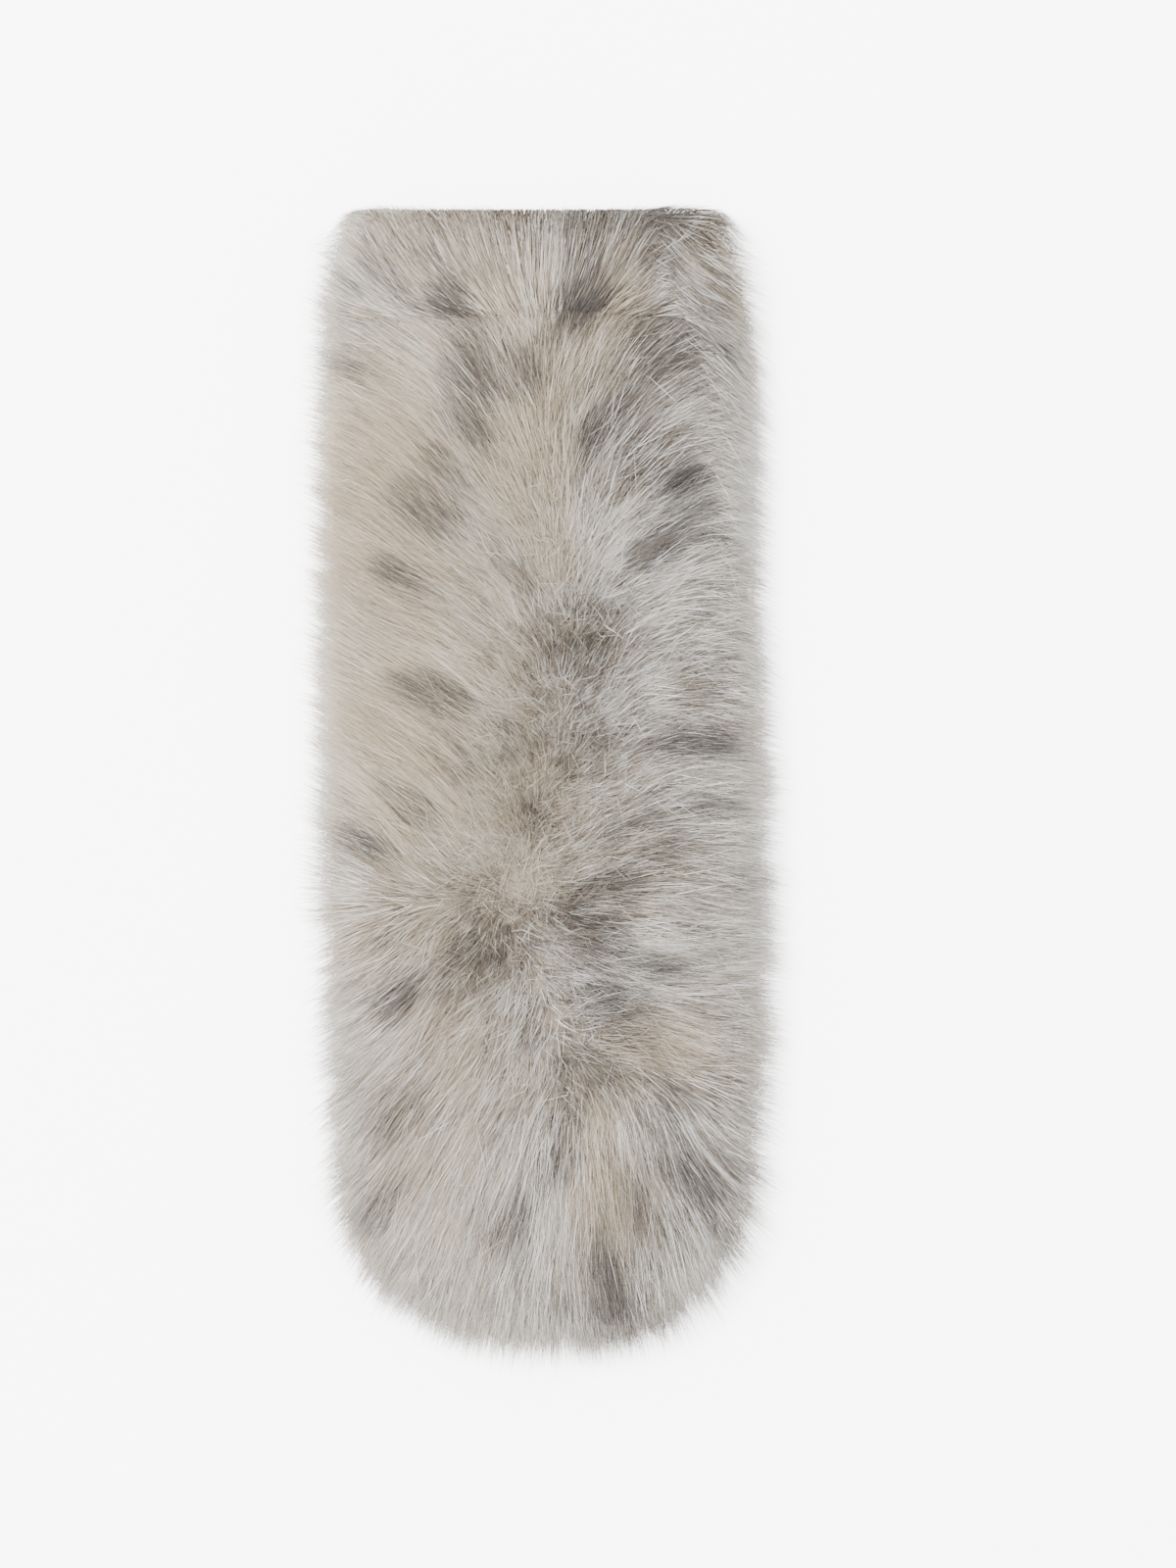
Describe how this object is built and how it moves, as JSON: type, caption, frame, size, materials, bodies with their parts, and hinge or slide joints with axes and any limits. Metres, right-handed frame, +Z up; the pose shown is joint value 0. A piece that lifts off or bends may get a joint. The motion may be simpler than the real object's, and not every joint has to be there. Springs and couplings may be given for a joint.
{
  "type": "folded fur collar wrap",
  "caption": "Long-haired spotted fur wrap, a round-ended strip folded once across its length and laid flat, fur side out.",
  "frame": {"origin": "centre of the outline on the surface that the wrap rests on", "axes": "+X across the wrap, +Y along it towards the fold, +Z up, away from the surface"},
  "size_m": [0.1892, 0.461, 0.0493],
  "materials": {
    "hide_skin": "matt suede skin side",
    "fur_front": "long soft pile, cream and silver grey with taupe spots",
    "fur_fold": "long soft pile lying over the fold",
    "fur_back": "long soft pile pressed flat underneath"
  },
  "bodies": {
    "root": {"hide": "hide_skin", "pile_front": "fur_front", "pile_fold": "fur_fold", "pile_back": "fur_back"}
  },
  "joints": []
}
